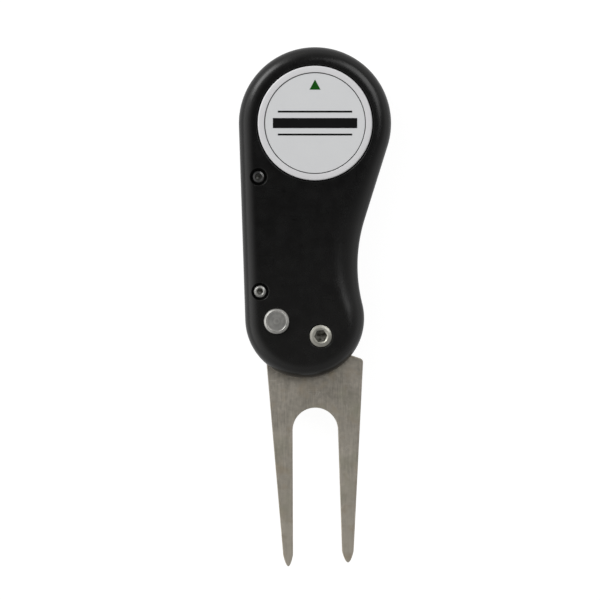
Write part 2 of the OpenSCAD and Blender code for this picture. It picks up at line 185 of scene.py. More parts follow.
def extruded(name, outline, low, high):
    """A flat outline of points (x, y) carried straight up from low to high."""
    rings = [np.column_stack([outline, np.full(len(outline), z)]) for z in (low, high)]
    return lofted(name, np.array(rings))


def carve(piece, cutters):
    """Subtracts each cutter from the piece, and removes the cutters."""
    for cutter in cutters:
        cut = piece.modifiers.new("cut", "BOOLEAN")
        cut.operation = "DIFFERENCE"
        cut.solver = "MANIFOLD"
        cut.object = cutter
    graph = bpy.context.evaluated_depsgraph_get()
    carved = bpy.data.meshes.new_from_object(piece.evaluated_get(graph))
    piece.modifiers.clear()
    piece.data = carved
    for cutter in cutters:
        bpy.data.objects.remove(cutter)
    return piece


def smooth(piece, angle=32):
    """Shades the piece smooth, keeps edges sharper than angle, and lets broad faces rule the
    normals, so that flats stay flat up to their rounded edges."""
    piece.data.shade_smooth()
    piece.data.set_sharp_from_angle(angle=math.radians(angle))
    weigh = piece.modifiers.new("weighted normals", "WEIGHTED_NORMAL")
    weigh.keep_sharp = True
    weigh.weight = 100
    return piece


# ---------------------------------------------------------------- materials

def new_group(name, inputs, outputs):
    """An empty shader node group. inputs are (name, default); outputs are names of floats."""
    group = bpy.data.node_groups.new(name, "ShaderNodeTree")
    group.interface.new_socket("Position", in_out="INPUT", socket_type="NodeSocketVector")
    for label, default in inputs:
        socket = group.interface.new_socket(label, in_out="INPUT", socket_type="NodeSocketFloat")
        socket.default_value = default
    for label in outputs:
        group.interface.new_socket(label, in_out="OUTPUT", socket_type="NodeSocketFloat")
    return group, group.nodes.new("NodeGroupInput"), group.nodes.new("NodeGroupOutput")


def maths(tree, kind, a, b=None, clamp=False):
    """A Math node on two values or sockets; returns its output."""
    node = tree.nodes.new("ShaderNodeMath")
    node.operation = kind
    node.use_clamp = clamp
    for socket, value in zip(node.inputs, (a, b)):
        if value is None:
            continue
        if isinstance(value, bpy.types.NodeSocket):
            tree.links.new(value, socket)
        else:
            socket.default_value = value
    return node.outputs[0]


def scaled(tree, vector, by):
    """The vector times a number, a socket or a triple."""
    node = tree.nodes.new("ShaderNodeVectorMath")
    node.operation = "MULTIPLY"
    tree.links.new(vector, node.inputs[0])
    if isinstance(by, bpy.types.NodeSocket):
        tree.links.new(by, node.inputs[1])
    else:
        node.inputs[1].default_value = by
    return node.outputs[0]


def noise(tree, vector, scale, detail=2.0, roughness=0.5):
    """A noise texture's value, about 0.5 on average."""
    node = tree.nodes.new("ShaderNodeTexNoise")
    tree.links.new(vector, node.inputs["Vector"])
    node.inputs["Detail"].default_value = detail
    node.inputs["Roughness"].default_value = roughness
    if isinstance(scale, bpy.types.NodeSocket):
        tree.links.new(scale, node.inputs["Scale"])
    else:
        node.inputs["Scale"].default_value = scale
    return node.outputs[0]


def ramp(tree, value, low, high, start=0.0, end=1.0):
    """Maps value from low..high to start..end, with flat ends."""
    node = tree.nodes.new("ShaderNodeMapRange")
    tree.links.new(value, node.inputs["Value"])
    limits = {"From Min": low, "From Max": high, "To Min": start, "To Max": end}
    for label, number in limits.items():
        node.inputs[label].default_value = number
    return node.outputs["Result"]


def build_grain():
    """Fine pebbled grain of a moulding: small noise over smaller noise. Size is a pebble's width
    in millimetres."""
    group, given, result = new_group("fine grain", [("Size", 0.2)], ["Height"])
    frequency = maths(group, "DIVIDE", 1.0, given.outputs["Size"])
    coarse = noise(group, given.outputs["Position"], frequency, 2.0)
    fine = noise(group, given.outputs["Position"], maths(group, "MULTIPLY", frequency, 2.7), 1.0)
    both = maths(group, "ADD", coarse, maths(group, "MULTIPLY", fine, 0.5))
    group.links.new(both, result.inputs["Height"])
    return group


def build_clouds():
    """Slow uneven tone, a few millimetres across, from -1 to 1 times Amount."""
    group, given, result = new_group("clouds", [("Size", 6.0), ("Amount", 1.0)], ["Value"])
    frequency = maths(group, "DIVIDE", 1.0, given.outputs["Size"])
    cloud = noise(group, given.outputs["Position"], frequency, 3.0)
    signed = maths(group, "MULTIPLY", maths(group, "SUBTRACT", cloud, 0.5), 4.0)
    value = maths(group, "MULTIPLY", signed, given.outputs["Amount"])
    group.links.new(value, result.inputs["Value"])
    return group


def build_brushed():
    """Short straight streaks along Y: noise stretched in that direction. Width is a streak's
    width in millimetres."""
    group, given, result = new_group("brushed", [("Width", 0.08)], ["Height"])
    stretched = scaled(group, given.outputs["Position"], (1.0, 0.04, 1.0))
    streaks = noise(group, stretched, maths(group, "DIVIDE", 1.0, given.outputs["Width"]), 3.0, 0.6)
    group.links.new(streaks, result.inputs["Height"])
    return group


def build_rings():
    """Lathe marks: noise that changes only with the distance from the vertical through the
    origin of Position. Pitch is the marks' spacing in millimetres."""
    group, given, result = new_group("turned rings", [("Pitch", 0.12)], ["Height"])
    flat = scaled(group, given.outputs["Position"], (1.0, 1.0, 0.0))
    length = group.nodes.new("ShaderNodeVectorMath")
    length.operation = "LENGTH"
    group.links.new(flat, length.inputs[0])
    steps = maths(group, "DIVIDE", length.outputs["Value"], given.outputs["Pitch"])
    along = group.nodes.new("ShaderNodeCombineXYZ")
    group.links.new(steps, along.inputs[0])
    marks = noise(group, along.outputs[0], 1.0, 3.0, 0.7)
    group.links.new(marks, result.inputs["Height"])
    return group


def build_scratches():
    """A sparse mask of hairlines: thin bands where two stretched noises cross their middle."""
    group, given, result = new_group("hairlines", [("Length", 6.0), ("Share", 0.02)], ["Mask"])
    masks = []
    for squeeze in ((1.0, 0.12, 1.0), (0.15, 1.0, 1.0)):
        stretched = scaled(group, given.outputs["Position"], squeeze)
        frequency = maths(group, "DIVIDE", 3.0, given.outputs["Length"])
        away = maths(group, "ABSOLUTE", maths(group, "SUBTRACT",
                                              noise(group, stretched, frequency, 1.0), 0.5))
        masks.append(maths(group, "LESS_THAN", away, maths(group, "MULTIPLY",
                                                           given.outputs["Share"], 0.1)))
    patches = ramp(group, noise(group, given.outputs["Position"], 0.25, 1.0), 0.52, 0.62)
    both = maths(group, "MAXIMUM", *masks)
    group.links.new(maths(group, "MULTIPLY", both, patches), result.inputs["Mask"])
    return group


def build_dust():
    """A sparse mask of specks: the cores of scattered cells."""
    group, given, result = new_group("dust", [("Spacing", 1.6), ("Speck", 0.05)], ["Mask"])
    cells = group.nodes.new("ShaderNodeTexVoronoi")
    group.links.new(given.outputs["Position"], cells.inputs["Vector"])
    group.links.new(maths(group, "DIVIDE", 1.0, given.outputs["Spacing"]), cells.inputs["Scale"])
    near = maths(group, "LESS_THAN", cells.outputs["Distance"], given.outputs["Speck"])
    group.links.new(near, result.inputs["Mask"])
    return group


GRAIN = build_grain()
CLOUDS = build_clouds()
BRUSHED = build_brushed()
RINGS = build_rings()
HAIRLINES = build_scratches()
DUST = build_dust()


class Finish:
    """One Principled material, with the position in millimetres at hand."""

    def __init__(self, name, centre=(0.0, 0.0)):
        self.material = bpy.data.materials.new(name)
        self.material.use_nodes = True
        self.tree = self.material.node_tree
        self.shader = self.tree.nodes["Principled BSDF"]
        coords = self.tree.nodes.new("ShaderNodeTexCoord")
        place = self.tree.nodes.new("ShaderNodeMapping")
        place.inputs["Location"].default_value = (-centre[0] / MM, -centre[1] / MM, 0.0)
        place.inputs["Scale"].default_value = (1 / MM, 1 / MM, 1 / MM)
        self.tree.links.new(coords.outputs["Object"], place.inputs["Vector"])
        self.position = place.outputs["Vector"]

    def set(self, **values):
        """Sets constant values on the shader's own sockets."""
        for label, value in values.items():
            self.shader.inputs[label.replace("_", " ")].default_value = value

    def effect(self, group, **values):
        """Places an effect group; returns its first output."""
        node = self.tree.nodes.new("ShaderNodeGroup")
        node.node_tree = group
        self.tree.links.new(self.position, node.inputs["Position"])
        for label, value in values.items():
            node.inputs[label].default_value = value
        return node.outputs[0]

    def colour(self, dark, light, value):
        """Base colour between dark and light, by a value from 0 to 1."""
        mix = self.tree.nodes.new("ShaderNodeMix")
        mix.data_type = "RGBA"
        self.tree.links.new(value, mix.inputs["Factor"])
        mix.inputs["A"].default_value = (*dark, 1.0)
        mix.inputs["B"].default_value = (*light, 1.0)
        self.tree.links.new(mix.outputs["Result"], self.shader.inputs["Base Color"])
        return mix

    def over(self, mix, colour, mask):
        """Lays a colour over the base colour where mask is 1."""
        layer = self.tree.nodes.new("ShaderNodeMix")
        layer.data_type = "RGBA"
        self.tree.links.new(mask, layer.inputs["Factor"])
        self.tree.links.new(mix.outputs["Result"], layer.inputs["A"])
        layer.inputs["B"].default_value = (*colour, 1.0)
        self.tree.links.new(layer.outputs["Result"], self.shader.inputs["Base Color"])
        return layer

    def along(self, axis):
        """One coordinate of the position, in millimetres: 0, 1 or 2 for x, y or z."""
        split = self.tree.nodes.new("ShaderNodeSeparateXYZ")
        self.tree.links.new(self.position, split.inputs[0])
        return split.outputs[axis]

    def feed(self, label, value):
        """Links a value to one of the shader's sockets."""
        self.tree.links.new(value, self.shader.inputs[label])

    def rough(self, value):
        """Roughness that changes over the surface."""
        self.feed("Roughness", value)

    def bump(self, height, depth):
        """Bump from a height of 0 to 1 that is depth metres deep."""
        node = self.tree.nodes.new("ShaderNodeBump")
        node.inputs["Strength"].default_value = 1.0
        node.inputs["Distance"].default_value = depth
        self.tree.links.new(height, node.inputs["Height"])
        self.tree.links.new(node.outputs["Normal"], self.shader.inputs["Normal"])


def moulded_black():
    """Satin black moulding: pebbled grain, slightly uneven gloss, hairlines, a few specks, and a
    greyer tone towards the heel, painted light that stands in for the sheen there."""
    finish = Finish("satin black moulding")
    tone = maths(finish.tree, "ADD", finish.effect(CLOUDS, Size=7.0, Amount=0.35), 0.5, clamp=True)
    base = finish.colour((0.0014, 0.0014, 0.0015), (0.0030, 0.0029, 0.0028), tone)
    # painted light: the base colour turns greyer towards the heel
    painted_light_along_y = ramp(finish.tree, finish.along(1), -10.0, -56.0, 0.0, 0.6)
    base = finish.over(base, (0.016, 0.0157, 0.0150), painted_light_along_y)
    specks = maths(finish.tree, "MULTIPLY", finish.effect(DUST, Spacing=3.1, Speck=0.02), 0.25)
    base = finish.over(base, (0.06, 0.058, 0.053), specks)
    lines = finish.effect(HAIRLINES, Length=9.0, Share=0.03)
    gloss = ramp(finish.tree, finish.effect(CLOUDS, Size=2.4, Amount=0.6), -0.9, 0.9, 0.21, 0.31)
    finish.rough(maths(finish.tree, "SUBTRACT", gloss, maths(finish.tree, "MULTIPLY", lines, 0.08)))
    finish.bump(finish.effect(GRAIN, Size=0.16), 0.004 * MM)
    return finish.material


def blasted_steel():
    """Bead-blasted stainless sheet: uneven mottling, a trace of its rolling grain, brownish and
    greenish stains, prongs painted lighter towards their tips as painted light, which leaves the
    roots darker as painted shade of the handle, and a few bright hairlines."""
    finish = Finish("blasted stainless steel")
    finish.set(Metallic=1.0)
    tree = finish.tree
    grain = finish.effect(BRUSHED, Width=0.14)
    mottle = finish.effect(CLOUDS, Size=0.9, Amount=0.26)
    cloud = finish.effect(CLOUDS, Size=7.0, Amount=0.35)
    blend = maths(tree, "ADD", maths(tree, "ADD", cloud, mottle),
                  maths(tree, "MULTIPLY", grain, 0.9), clamp=True)
    base = finish.colour((0.39, 0.362, 0.312), (0.68, 0.63, 0.548), blend)
    # painted light: base colour lighter towards the prongs' tips, roots left darker as painted
    # shade
    painted_light_along_y = ramp(tree, finish.along(1), -58.0, -95.0, 0.0, 0.7)
    base = finish.over(base, (0.77, 0.71, 0.605), painted_light_along_y)
    stain = ramp(tree, finish.effect(CLOUDS, Size=2.4, Amount=1.0), 0.1, 1.0, 0.0, 0.6)
    base = finish.over(base, (0.52, 0.44, 0.32), stain)
    green = ramp(tree, finish.effect(CLOUDS, Size=5.0, Amount=-1.0), 0.1, 1.0, 0.0, 0.5)
    base = finish.over(base, (0.47, 0.462, 0.345), green)
    lines = maths(tree, "MULTIPLY", finish.effect(HAIRLINES, Length=5.0, Share=0.05), 0.3)
    finish.over(base, (0.8, 0.77, 0.72), lines)
    finish.rough(ramp(tree, grain, 0.3, 0.7, 0.42, 0.54))
    rolled = maths(tree, "MULTIPLY", grain, 0.8)
    finish.bump(maths(tree, "ADD", finish.effect(GRAIN, Size=0.09), rolled), 0.004 * MM)
    return finish.material


def turned_steel(name, centre, dark, light, roughness, depth=0.002, pitch=0.1, dirt_and_shade_from=None):
    """Lathe-turned steel: fine rings about the piece's own axis. dirt_and_shade_from, if given, is
    the height in millimetres where patchy darkening begins, as in a screw's socket: dirt together
    with painted shade of the recess; it is thickest 0.5 mm lower."""
    finish = Finish(name, centre)
    finish.set(Metallic=1.0)
    marks = finish.effect(RINGS, Pitch=pitch)
    tone = maths(finish.tree, "ADD", marks, finish.effect(CLOUDS, Size=1.5, Amount=0.2), clamp=True)
    base = finish.colour(dark, light, tone)
    if dirt_and_shade_from is not None:
        # dirt and painted shade: patchy darkening that deepens down into the socket
        deep = ramp(finish.tree, finish.along(2), dirt_and_shade_from, dirt_and_shade_from - 0.5)
        patches = ramp(finish.tree, finish.effect(CLOUDS, Size=0.9), -0.6, 0.5, 0.45, 0.97)
        finish.over(base, (0.03, 0.029, 0.02), maths(finish.tree, "MULTIPLY", deep, patches))
    finish.rough(ramp(finish.tree, marks, 0.25, 0.75, roughness - 0.06, roughness + 0.08))
    finish.bump(marks, depth * MM)
    return finish.material


def plain_metal(name, dark, light, roughness, size=0.6):
    """Plated or drawn metal with slightly uneven tone and gloss."""
    finish = Finish(name)
    finish.set(Metallic=1.0)
    tone = maths(finish.tree, "ADD", finish.effect(CLOUDS, Size=size, Amount=0.4), 0.5, clamp=True)
    finish.colour(dark, light, tone)
    finish.rough(ramp(finish.tree, tone, 0.0, 1.0, roughness - 0.05, roughness + 0.05))
    finish.bump(finish.effect(GRAIN, Size=0.1), 0.001 * MM)
    return finish.material


def enamel(name, dark, light, roughness, shine):
    """Smooth enamel or print with faint orange peel and specks; shine is its specular level."""
    finish = Finish(name)
    finish.set(Specular_IOR_Level=shine)
    tone = maths(finish.tree, "ADD", finish.effect(CLOUDS, Size=5.0, Amount=0.3), 0.5, clamp=True)
    base = finish.colour(dark, light, tone)
    specks = maths(finish.tree, "MULTIPLY", finish.effect(DUST, Spacing=1.9, Speck=0.02), 0.2)
    finish.over(base, tuple(0.6 * c for c in dark), specks)
    finish.rough(ramp(finish.tree, tone, 0.0, 1.0, roughness - 0.04, roughness + 0.04))
    finish.bump(finish.effect(GRAIN, Size=0.9), 0.002 * MM)
    return finish.material


def dress(piece, material):
    """Gives the whole piece one material."""
    piece.data.materials.clear()
    piece.data.materials.append(material)
    return piece


# ---------------------------------------------------------------- the handle's shells

HEAD_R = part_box("front_shell")[1].x
HEEL_R = 13 * MM
HEEL = np.array([-2.25, -42.6]) * MM
HOLLOW_R = 34 * MM
RUN_ANGLE = math.radians(17.4)
EDGE_WIDTH = 2.8 * MM
HOLLOW_EXTRA = 3.4 * MM
EDGE_DEPTH = 3.6 * MM
EDGE_POWER = 2.7
EDGE_SPREAD = 1.25
HOLLOW_Y = -28 * MM
HOLLOW_SPAN = 24 * MM
PARTING_ROUND = 0.2 * MM
LIP_ROUND = 0.22 * MM
SWING_R = 51.5 * MM
CHAMBER = (FORK_Z[0] - 0.1 * MM, FORK_Z[1] + 0.1 * MM)
SPINE_TOP = np.array([-6.4, 12]) * MM
SPINE_LOW = np.array([-9, -44.4]) * MM
SPINE_REACH = 30 * MM
SPINE_END_OFFSET = 1.4 * MM

# round cuts in the front shell
SEAT_PLAY = 0.3 * MM
MAGNET_PLAY = 0.02 * MM
BUTTON_BORE_R = 2.85 * MM
FLANGE_BORE_R = 3.4 * MM
FLANGE_BORE_H = 2.66 * MM
PIVOT_HEAD_PLAY = 0.1 * MM
PIVOT_HOLE_R = 1.6 * MM
FRONT_WASHER_BED_R = 4.7 * MM
CASE_BORE_R = 1.9 * MM
CASE_HOLE_R = 0.85 * MM

# round cuts in the rear shell, as (radius, floor)
SLEEVE_FLANGE = (3.1 * MM, 1.1 * MM)
SPRING_CUP = (4.35 * MM, 1.9 * MM)
REAR_WASHER_BED = (6.7 * MM, 4.0 * MM)
BUTTON_WELL = (1.95 * MM, 1.0 * MM)
INSERT_BORE_R = 1.5 * MM

# slot for the spring's lower leg, from the pivot, and the cores as (centre, size) in millimetres
LEG_SLOT = np.array([[0, 2.7], [5.0, 2.7], [5.0, 3.5], [0, 3.5]]) * MM
FRONT_CORES = [((0.2, -21.5), (8.4, 9)), ((-0.4, -32.5), (8.4, 9))]
FRONT_CORE_H = 2 * MM
REAR_CORES = [((-1, -34), (9, 8.5)), ((0, -23), (10.5, 9.5)), ((0.6, -10.5), (12, 11.5)),
              ((0.8, 0.2), (12, 5.6))]
REAR_CORE_H = 2.4 * MM


def arc(centre, r, start, end, spacing, hollow=False):
    """Points, outward angles, along an arc from start up to, but not at, end."""
    count = max(2, int(abs(end - start) * r / spacing))
    angle = np.linspace(start, end, count, endpoint=False)
    return centre + r * direction(angle), angle + (math.pi if hollow else 0)


def straight(first, last, normal, spacing):
    """Points, outward angles, along a straight line from first up to, but not at, last."""
    count = max(2, int(np.linalg.norm(last - first) / spacing))
    share = np.linspace(0, 1, count, endpoint=False)[:, None]
    return first + (last - first) * share, np.full(count, float(normal))


def handle_outline(spacing=0.3 * MM):
    """Points round the handle, counter-clockwise, and the angle that each faces: the head's arc,
    the straight back tangent to head and heel, the heel's arc, the hollow's arc, which touches
    the heel and the straight run, and the run, which touches the head."""
    origin = np.zeros(2)
    back = (2 * math.pi + math.atan2(HEEL[1], HEEL[0])
            - math.acos((HEAD_R - HEEL_R) / np.linalg.norm(HEEL)))
    out, along = direction(-RUN_ANGLE), direction(-RUN_ANGLE - math.pi / 2)
    gap = out * (HEAD_R + HOLLOW_R) - HEEL
    reach = -gap @ along - math.sqrt((gap @ along) ** 2 - gap @ gap + (HEEL_R + HOLLOW_R) ** 2)
    hollow = out * (HEAD_R + HOLLOW_R) + along * reach
    heel_end = 2 * math.pi + math.atan2(hollow[1] - HEEL[1], hollow[0] - HEEL[0])
    hollow_end = math.pi - RUN_ANGLE
    stretches = [
        arc(origin, HEAD_R, -RUN_ANGLE, back, spacing),
        straight(HEAD_R * direction(back), HEEL + HEEL_R * direction(back), back, spacing),
        arc(HEEL, HEEL_R, back, heel_end, spacing),
        arc(hollow, HOLLOW_R, heel_end - math.pi, hollow_end, spacing, hollow=True),
        straight(hollow + HOLLOW_R * direction(hollow_end), HEAD_R * out, -RUN_ANGLE, spacing),
    ]
    return np.concatenate([s[0] for s in stretches]), np.concatenate([s[1] for s in stretches])


def ease(t):
    """0 to 1 with level ends."""
    u = np.clip(t, 0, 1)
    return u * u * (3 - 2 * u)


def shell_skin(name, side):
    """One half of the handle as a solid. Ring by ring from the parting plane: a small round, the
    upright wall, then the rounded edge, wider along the finger hollow, over to the flat face. The
    edge is the curve (1 - s / w) ** p + (z / d) ** 2 = 1, s being the distance in from the wall, z
    the height over its foot, w its width times EDGE_SPREAD, d its depth and p EDGE_POWER, so it
    meets the face without a crease. side is 1 for the front shell and -1 for the rear one."""
    points, facing = handle_outline()
    width = EDGE_WIDTH + (HOLLOW_EXTRA * np.clip(np.cos(facing), 0, None) ** 2
                          * ease(1 - np.abs(points[:, 1] - HOLLOW_Y) / HOLLOW_SPAN))
    quarter = np.linspace(0, math.pi / 2, 6)
    over = np.linspace(0, math.pi / 2, 29)
    half = MID_Z
    height = np.concatenate([PARTING_ROUND * (1 - np.cos(quarter)),
                             half - EDGE_DEPTH + EDGE_DEPTH * np.sin(over)])
    fixed = np.concatenate([PARTING_ROUND * (1 - np.sin(quarter)), np.zeros(len(over))])
    share = np.concatenate([np.zeros(len(quarter)),
                            EDGE_SPREAD * (1 - np.cos(over) ** (2 / EDGE_POWER))])
    inset = fixed[:, None] + share[:, None] * width
    flat = points - direction(facing) * inset[..., None]
    z = np.broadcast_to(MID_Z + side * height[:, None], flat.shape[:2])
    rings = np.concatenate([flat, z[..., None]], axis=-1)
    return lofted(name, rings if side > 0 else rings[::-1])


def circle_hit(start, along, centre, r):
    """Where the ray from start leaves the circle."""
    gap = start - centre
    reach = -gap @ along + math.sqrt((gap @ along) ** 2 - gap @ gap + r * r)
    return start + along * reach


def chamber_outline():
    """Plan of the fork's chamber: a disc about the pivot, cut off along the spine."""
    lock = BUTTON - PIVOT
    lock = lock / np.linalg.norm(lock)
    aside = np.array([lock[1], -lock[0]])
    end_point = PIVOT + lock * SPINE_REACH - aside * SPINE_END_OFFSET
    up = (SPINE_TOP - SPINE_LOW) / np.linalg.norm(SPINE_TOP - SPINE_LOW)
    out = (end_point - SPINE_LOW) / np.linalg.norm(end_point - SPINE_LOW)
    top = circle_hit(SPINE_LOW, up, PIVOT, SWING_R) - PIVOT
    low = circle_hit(SPINE_LOW, out, PIVOT, SWING_R) - PIVOT
    first = math.atan2(low[1], low[0])
    last = math.atan2(top[1], top[0])
    if first > last:
        first -= 2 * math.pi
    return np.concatenate([PIVOT + SWING_R * direction(np.linspace(first, last, 160)),
                           SPINE_LOW[None]])


def inside(points, outline):
    """Whether each point lies in the outline, by counting crossings of a ray to the right."""
    a, b = outline, np.roll(outline, -1, axis=0)
    y = points[:, 1][:, None]
    crosses = (a[:, 1] > y) != (b[:, 1] > y)
    slope = (b[:, 0] - a[:, 0]) / np.where(b[:, 1] == a[:, 1], 1, b[:, 1] - a[:, 1])
    right = points[:, 0][:, None] < a[:, 0] + slope * (y - a[:, 1])
    return (crosses & right).sum(axis=1) % 2 == 1


def lip_cutter(name, side):
    """A strip that rounds the chamber's lip. Its section is the corner of a square outside a
    quarter circle, carried along the open part of the outline; its ends shrink to a twentieth."""
    points, facing = handle_outline()
    is_open = inside(points, chamber_outline())
    first = int(np.argmax(is_open & ~np.roll(is_open, 1)))
    points, facing, is_open = (np.roll(a, -first, axis=0) for a in (points, facing, is_open))
    points, facing = points[is_open], facing[is_open]
    run = np.arange(len(points)) / (len(points) - 1)
    size = LIP_ROUND * (0.05 + 0.95 * ease(25 * run) * ease(25 * (1 - run)))
    turn = np.linspace(-math.pi / 2, -math.pi, 7)
    past = -0.4
    inset = np.concatenate([[past, 1.0], 1 + np.cos(turn), [past]])
    rise = np.concatenate([[past, past], 1 + np.sin(turn), [1.0]])
    level = CHAMBER[1] if side > 0 else CHAMBER[0]
    flat = (points[:, None] - direction(facing)[:, None]
            * (size[:, None] * inset)[..., None])
    z = level + side * size[:, None] * rise
    rings = np.concatenate([flat, z[..., None]], axis=-1)
    return lofted(name, rings if side > 0 else rings[:, ::-1])


def bore_cutter(centre, r, floor, mouth, flare, side=1, floor_round=0.0):
    """A round bore from floor out through the face at mouth, with a rounded rim of size flare.
    side is 1 for a bore that opens upwards and -1 for one that opens downwards."""
    corners = [(r, floor, floor_round), (r, mouth - side * flare, 0)]
    turn = np.linspace(math.pi, math.pi / 2, 7)[1:]
    corners += [(r + flare + flare * math.cos(t), mouth - side * flare * (1 - math.sin(t)), 0)
                for t in turn]
    corners.append((r + flare, mouth + side * 2 * MM, 0))
    corners.insert(0, (0.2 * r, floor, 0))
    return turned("bore", centre, corners if side > 0 else corners[::-1], sides=160)


def pocket(centre, r, low, high):
    """A plain round cutter about the vertical through centre."""
    return turned("pocket", centre, [(r, low, 0), (r, high, 0)])


def cored(centre, size, low, high, r=1.2 * MM):
    """A weight-saving pocket with round corners."""
    x, y = np.array(centre) * MM
    w, l = np.array(size) * MM / 2
    corners = [(x + w, y - l, r), (x + w, y + l, r), (x - w, y + l, r), (x - w, y - l, r)]
    return extruded("pocket", filleted(corners), low, high)


def front_shell():
    """Front shell: skin, then the marker's seat, the magnet's pocket, the bores of button, pivot
    and case screws, the fork's chamber with its rounded lip, and the cores."""
    shell = shell_skin("front_shell_skin", 1)
    middle_axis = np.zeros(2)
    magnet_floor, seat = levels("magnet")
    pivot_seat = levels("pivot_screw")[1] - PIVOT_HEAD_H
    inner = CHAMBER[1] - TINY
    cutters = [
        bore_cutter(middle_axis, radius("marker_disc") + SEAT_PLAY, seat, TOP_Z, 0.12 * MM),
        pocket(middle_axis, radius("magnet") + MAGNET_PLAY, magnet_floor, seat + TINY),
        bore_cutter(BUTTON, BUTTON_BORE_R, inner, TOP_Z, 0.12 * MM),
        pocket(BUTTON, FLANGE_BORE_R, MID_Z - 1 * MM, inner + FLANGE_BORE_H),
        bore_cutter(PIVOT, radius("pivot_screw") + PIVOT_HEAD_PLAY, pivot_seat, TOP_Z, 0.1 * MM),
        pocket(PIVOT, PIVOT_HOLE_R, inner, pivot_seat + TINY),
        pocket(PIVOT, SLEEVE_HOLE_R, inner, levels("pivot_sleeve")[1] + 0.1 * MM),
        pocket(PIVOT, FRONT_WASHER_BED_R, inner, levels("front_washer")[1] + 0.05 * MM),
        extruded("chamber", chamber_outline(), MID_Z - 1 * MM, CHAMBER[1]),
        lip_cutter("lip", 1),
    ]
    for centre, size in FRONT_CORES:
        cutters.append(cored(centre, size, inner, CHAMBER[1] + FRONT_CORE_H))
    for name, centre in CASE_SCREWS.items():
        floor = levels(name)[1] - CASE_HEAD_H
        cutters.append(bore_cutter(centre, CASE_BORE_R, floor, TOP_Z, 0.15 * MM))
        cutters.append(pocket(centre, CASE_HOLE_R, 0, floor + TINY))
    carve(shell, cutters)
    return smooth(shell)


def rear_shell():
    """Rear shell: skin, the bore of the pivot sleeve and its flange, the pockets of the springs,
    the rear washer and the inserts, the slot of the fork spring's lower leg, the chamber with its
    lip, and the cores."""
    shell = shell_skin("rear_shell_skin", -1)
    inner = CHAMBER[0] + TINY
    cutters = [
        bore_cutter(PIVOT, *SLEEVE_FLANGE, 0.0, 0.2 * MM, side=-1),
        pocket(PIVOT, SLEEVE_HOLE_R, 0.5 * MM, inner),
        pocket(PIVOT, *SPRING_CUP, inner),
        pocket(PIVOT, *REAR_WASHER_BED, inner),
        pocket(BUTTON, *BUTTON_WELL, inner + 3 * MM),
        extruded("chamber", chamber_outline(), CHAMBER[0], MID_Z + 1 * MM),
        lip_cutter("lip", -1),
    ]
    for centre, size in REAR_CORES:
        cutters.append(cored(centre, size, CHAMBER[0] - REAR_CORE_H, inner))
    cutters.append(extruded("leg_slot", PIVOT + LEG_SLOT, SPRING_CUP[1], inner))
    for name in ("upper_insert", "lower_insert"):
        cutters.append(pocket(middle(name), INSERT_BORE_R, levels(name)[0], 10 * MM))
    carve(shell, cutters)
    return smooth(shell)


# ---------------------------------------------------------------- the fork

FORK_AXIS = -1.4 * MM
GAP_AXIS = -1.57 * MM
FORK_TILT = math.radians(1.05)
FORK_TAPER = math.tan(math.radians(3.9))
FORK_HALF_W = 10.5 * MM
TAPER_Y = -6.6 * MM
ARCH_R = 4.95 * MM
ARCH_Y = -20.6 * MM
ARCH_SPLAY = math.tan(math.radians(0.85))
NOSE_L = 2.5 * MM
SHOULDER = 1.9 * MM
TANG_R = 7.9 * MM
PRONG_REACH = {-1: 50.2 * MM, 1: 49.6 * MM}
FORK_EDGE = 0.14 * MM
SHOULDER_ROUND = 0.9 * MM
NOSE_ROUND = 2 * MM
LEG_HOLE_R = 0.4 * MM


def fork_outline():
    """Plan of the fork in its own frame, counter-clockwise: straight tapering prongs, each with a
    parabola for a nose, the arch between them, two shoulders on one line beside the pivot, and the
    round tang above that line."""
    lock = BUTTON - PIVOT
    lock_angle = math.atan2(lock[1], lock[0]) - FORK_TILT
    above = direction(np.array(lock_angle - math.pi / 2))

    def outer(side, y):
        return FORK_AXIS + side * (FORK_HALF_W + (y - TAPER_Y) * FORK_TAPER)

    def inner(side, y):
        return GAP_AXIS + side * (ARCH_R + (ARCH_Y - y) * ARCH_SPLAY)

    def shoulder(side):
        x0 = outer(side, 0)
        y = (-SHOULDER - above[0] * x0) / (above[1] + above[0] * FORK_TAPER * side)
        return x0 + FORK_TAPER * side * y, y, SHOULDER_ROUND

    def nose(side):
        tip = -PRONG_REACH[side]
        first, last = outer(side, tip + NOSE_L), inner(side, tip + NOSE_L)
        share = np.linspace(-1, 1, 33)
        across = (first + last) / 2 - share * (first - last) / 2
        rounding = np.where(np.abs(share) == 1, NOSE_ROUND, 0)
        return np.column_stack([across, tip + NOSE_L * share ** 2, rounding]).tolist()

    arch = [(GAP_AXIS + ARCH_R * math.cos(a), ARCH_Y + ARCH_R * math.sin(a), 0)
            for a in np.linspace(math.pi, 0, 49)]
    blade = filleted([shoulder(-1), *nose(-1), *arch, *nose(1)[::-1], shoulder(1)], steps=12)
    chord = math.acos(SHOULDER / TANG_R)
    upward = lock_angle - math.pi / 2
    tang = TANG_R * direction(upward + np.linspace(-math.pi + chord, math.pi - chord, 90))
    return np.concatenate([blade, tang])


def even_outward(outline):
    """Outward direction at each point: the mean of its two sides' normals."""
    side = np.roll(outline, -1, axis=0) - outline
    side /= np.linalg.norm(side, axis=1)[:, None]
    normal = np.column_stack([side[:, 1], -side[:, 0]])
    both = normal + np.roll(normal, 1, axis=0)
    both /= np.linalg.norm(both, axis=1)[:, None]
    stretch = 1 / np.clip((both * normal).sum(axis=1), 0.6, 1)
    return both * stretch[:, None]


